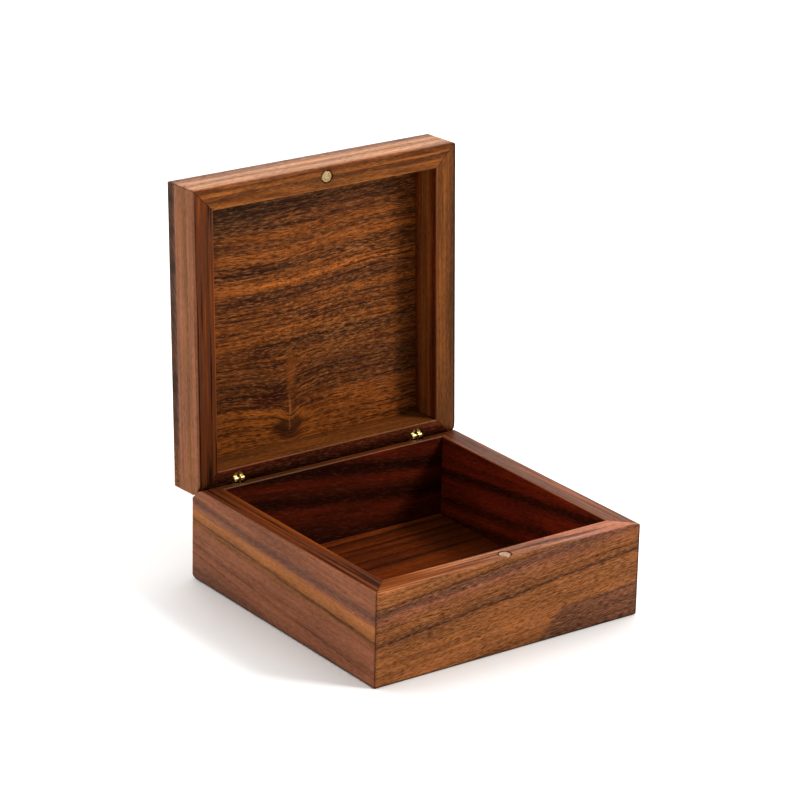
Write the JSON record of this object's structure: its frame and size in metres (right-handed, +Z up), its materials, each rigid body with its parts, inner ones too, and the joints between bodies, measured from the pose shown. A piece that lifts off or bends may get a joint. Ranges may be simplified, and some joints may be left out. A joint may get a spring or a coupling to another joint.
{
  "type": "wooden box with hinged lid",
  "caption": "Square wooden keepsake box, mitred walls, shallow lid held open on barrel hinges, magnets in the front rims.",
  "frame": {"origin": "middle of the underside of the base, on the face that it rests on", "axes": "+X to the right along the front wall, +Y from the front to the hinges at the back, +Z up; the lid stands open at rest"},
  "size_m": [0.127, 0.1453, 0.1624],
  "materials": {
    "walnut": "oiled satin",
    "walnut_panel": "oiled satin, figured",
    "brass": "turned, bright",
    "magnet_nickel": "nickel plated, satin"
  },
  "bodies": {
    "base": {"base_front_wall": "walnut", "base_back_wall": "walnut", "base_left_wall": "walnut", "base_right_wall": "walnut", "base_floor": "walnut_panel", "base_magnet": "magnet_nickel", "left_hinge_base_barrel": "brass", "left_hinge_base_pin": "brass", "left_hinge_link": "brass", "right_hinge_base_barrel": "brass", "right_hinge_base_pin": "brass", "right_hinge_link": "brass"},
    "lid": {"lid_front_wall": "walnut", "lid_back_wall": "walnut", "lid_left_wall": "walnut", "lid_right_wall": "walnut", "lid_top_panel": "walnut_panel", "lid_magnet": "magnet_nickel", "left_hinge_lid_barrel": "brass", "left_hinge_lid_pin": "brass", "right_hinge_lid_barrel": "brass", "right_hinge_lid_pin": "brass"}
  },
  "joints": [
    {"name": "lid_swing", "type": "hinge", "parent": "base", "child": "lid", "pos_m": [0, 0.059, 0.03997], "axis": [1, 0, 0], "range_deg": [0, 92.4]}
  ]
}
